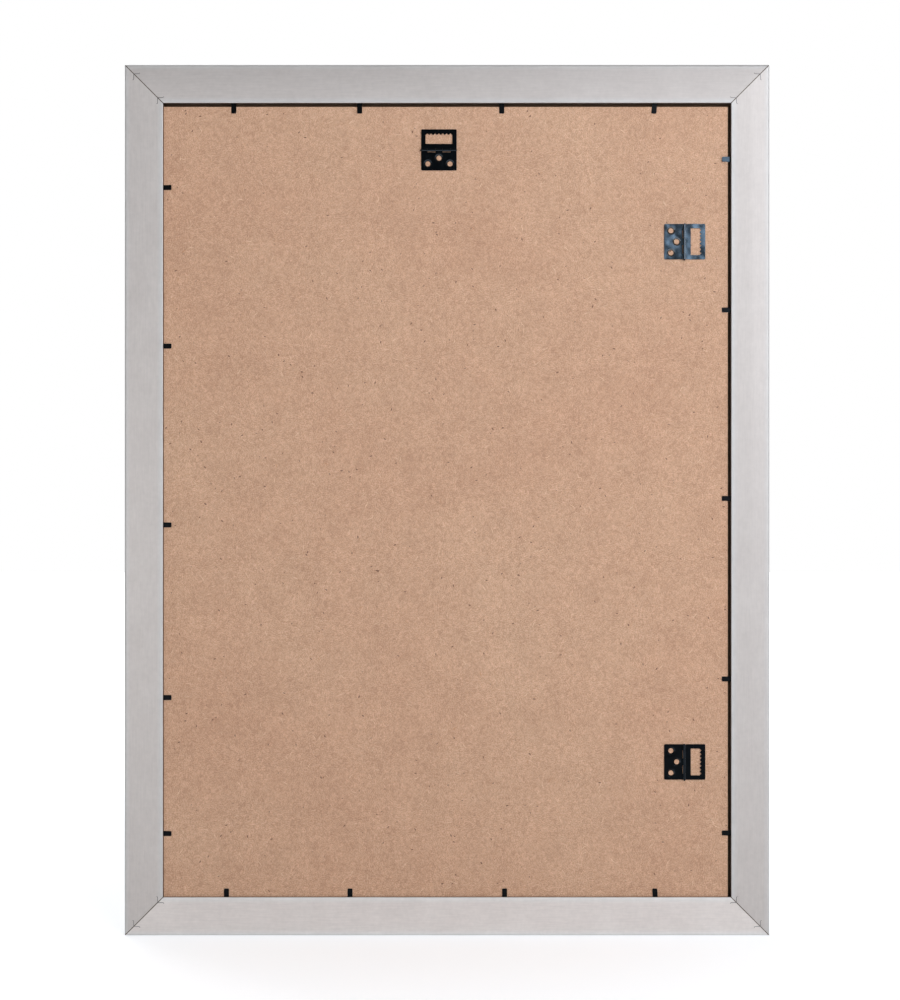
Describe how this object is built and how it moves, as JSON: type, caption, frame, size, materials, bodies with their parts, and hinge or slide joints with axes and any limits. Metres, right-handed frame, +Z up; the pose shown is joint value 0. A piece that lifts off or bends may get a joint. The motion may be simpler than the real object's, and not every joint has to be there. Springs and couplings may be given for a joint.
{
  "type": "picture frame",
  "caption": "Wall picture frame with mitred foil-wrapped moulding, glazing, a hardboard back held by bendable points, and hinged sawtooth hangers.",
  "frame": {"origin": "centre of the frame's bounding box: the middle of its height, width and depth", "axes": "+Z up as it hangs in portrait, -Y the way the picture faces, +Y the back with the hangers, X across the width"},
  "size_m": [0.571, 0.017, 0.771],
  "materials": {
    "silver_foil": "satin metallised foil with fine lengthwise streaks, wrapped on the moulding",
    "moulding_core": "raw brown fibreboard, planed",
    "nail_steel": "bare spring steel, darkened",
    "black_steel": "black oxide strip steel",
    "blued_steel": "stamped steel, glossy blue-black",
    "pin_steel": "drawn wire, blue-black",
    "glass": "clear float glass",
    "paper": "plain matt sheet",
    "hardboard": "sanded hardboard, light brown with fine dark flecks"
  },
  "bodies": {
    "frame": {"point_shanks_top": "black_steel", "point_shanks_right": "black_steel", "point_shanks_bottom": "black_steel", "point_shanks_left": "black_steel", "v_nails_top_left": "nail_steel", "v_nails_top_right": "nail_steel", "v_nails_bottom_right": "nail_steel", "v_nails_bottom_left": "nail_steel", "rail_top": "moulding_core", "foil_top": "silver_foil", "rail_right": "moulding_core", "foil_right": "silver_foil", "rail_bottom": "moulding_core", "foil_bottom": "silver_foil", "rail_left": "moulding_core", "foil_left": "silver_foil", "hanger_top_plate": "blued_steel", "hanger_top_pin": "pin_steel", "hanger_side_upper_plate": "blued_steel", "hanger_side_upper_pin": "pin_steel", "hanger_side_lower_plate": "blued_steel", "hanger_side_lower_pin": "pin_steel", "glazing": "glass", "insert_sheet": "paper", "backing_board": "hardboard"},
    "point_top_1": {"point_top_1": "black_steel"},
    "point_top_2": {"point_top_2": "black_steel"},
    "point_top_3": {"point_top_3": "black_steel"},
    "point_top_4": {"point_top_4": "black_steel"},
    "point_right_1": {"point_right_1": "black_steel"},
    "point_right_2": {"point_right_2": "black_steel"},
    "point_right_3": {"point_right_3": "black_steel"},
    "point_right_4": {"point_right_4": "black_steel"},
    "point_right_5": {"point_right_5": "black_steel"},
    "point_bottom_1": {"point_bottom_1": "black_steel"},
    "point_bottom_2": {"point_bottom_2": "black_steel"},
    "point_bottom_3": {"point_bottom_3": "black_steel"},
    "point_bottom_4": {"point_bottom_4": "black_steel"},
    "point_left_1": {"point_left_1": "black_steel"},
    "point_left_2": {"point_left_2": "black_steel"},
    "point_left_3": {"point_left_3": "black_steel"},
    "point_left_4": {"point_left_4": "black_steel"},
    "point_left_5": {"point_left_5": "black_steel"},
    "hanger_top_sawtooth": {"hanger_top_sawtooth": "blued_steel"},
    "hanger_side_upper_sawtooth": {"hanger_side_upper_sawtooth": "blued_steel"},
    "hanger_side_lower_sawtooth": {"hanger_side_lower_sawtooth": "blued_steel"}
  },
  "joints": [
    {"name": "point_top_1_bend", "type": "hinge", "parent": "frame", "child": "point_top_1", "pos_m": [0.189, 0.00555, 0.35126], "axis": [1, 0, 0], "range_deg": [0, 90]},
    {"name": "point_top_2_bend", "type": "hinge", "parent": "frame", "child": "point_top_2", "pos_m": [0.0775, 0.00555, 0.35126], "axis": [1, 0, 0], "range_deg": [0, 90]},
    {"name": "point_top_3_bend", "type": "hinge", "parent": "frame", "child": "point_top_3", "pos_m": [-0.0485, 0.00555, 0.35126], "axis": [1, 0, 0], "range_deg": [0, 90]},
    {"name": "point_top_4_bend", "type": "hinge", "parent": "frame", "child": "point_top_4", "pos_m": [-0.184, 0.00555, 0.35126], "axis": [1, 0, 0], "range_deg": [0, 90]},
    {"name": "point_right_1_bend", "type": "hinge", "parent": "frame", "child": "point_right_1", "pos_m": [-0.25126, 0.00555, 0.302], "axis": [0, 0, 1], "range_deg": [-9, 81]},
    {"name": "point_right_2_bend", "type": "hinge", "parent": "frame", "child": "point_right_2", "pos_m": [-0.25126, 0.00555, 0.1685], "axis": [0, 0, 1], "range_deg": [0, 90]},
    {"name": "point_right_3_bend", "type": "hinge", "parent": "frame", "child": "point_right_3", "pos_m": [-0.25126, 0.00555, 0.0015], "axis": [0, 0, 1], "range_deg": [0, 90]},
    {"name": "point_right_4_bend", "type": "hinge", "parent": "frame", "child": "point_right_4", "pos_m": [-0.25126, 0.00555, -0.1585], "axis": [0, 0, 1], "range_deg": [0, 90]},
    {"name": "point_right_5_bend", "type": "hinge", "parent": "frame", "child": "point_right_5", "pos_m": [-0.25126, 0.00555, -0.295], "axis": [0, 0, 1], "range_deg": [0, 90]},
    {"name": "point_bottom_1_bend", "type": "hinge", "parent": "frame", "child": "point_bottom_1", "pos_m": [-0.1845, 0.00555, -0.35126], "axis": [-1, 0, 0], "range_deg": [0, 90]},
    {"name": "point_bottom_2_bend", "type": "hinge", "parent": "frame", "child": "point_bottom_2", "pos_m": [-0.051, 0.00555, -0.35126], "axis": [-1, 0, 0], "range_deg": [0, 90]},
    {"name": "point_bottom_3_bend", "type": "hinge", "parent": "frame", "child": "point_bottom_3", "pos_m": [0.086, 0.00555, -0.35126], "axis": [-1, 0, 0], "range_deg": [0, 90]},
    {"name": "point_bottom_4_bend", "type": "hinge", "parent": "frame", "child": "point_bottom_4", "pos_m": [0.1955, 0.00555, -0.35126], "axis": [-1, 0, 0], "range_deg": [0, 90]},
    {"name": "point_left_1_bend", "type": "hinge", "parent": "frame", "child": "point_left_1", "pos_m": [0.25126, 0.00555, -0.2955], "axis": [0, 0, -1], "range_deg": [0, 90]},
    {"name": "point_left_2_bend", "type": "hinge", "parent": "frame", "child": "point_left_2", "pos_m": [0.25126, 0.00555, -0.175], "axis": [0, 0, -1], "range_deg": [0, 90]},
    {"name": "point_left_3_bend", "type": "hinge", "parent": "frame", "child": "point_left_3", "pos_m": [0.25126, 0.00555, -0.022], "axis": [0, 0, -1], "range_deg": [0, 90]},
    {"name": "point_left_4_bend", "type": "hinge", "parent": "frame", "child": "point_left_4", "pos_m": [0.25126, 0.00555, 0.1365], "axis": [0, 0, -1], "range_deg": [0, 90]},
    {"name": "point_left_5_bend", "type": "hinge", "parent": "frame", "child": "point_left_5", "pos_m": [0.25126, 0.00555, 0.277], "axis": [0, 0, -1], "range_deg": [0, 90]},
    {"name": "hanger_top_hinge", "type": "hinge", "parent": "frame", "child": "hanger_top_sawtooth", "pos_m": [0.0072, 0.00668, 0.3099], "axis": [-1, 0, 0], "range_deg": [0, 180]},
    {"name": "hanger_side_upper_hinge", "type": "hinge", "parent": "frame", "child": "hanger_side_upper_sawtooth", "pos_m": [-0.2102, 0.00668, 0.229], "axis": [0, 0, -1], "range_deg": [0, 180]},
    {"name": "hanger_side_lower_hinge", "type": "hinge", "parent": "frame", "child": "hanger_side_lower_sawtooth", "pos_m": [-0.2102, 0.00668, -0.232], "axis": [0, 0, -1], "range_deg": [0, 180]}
  ]
}
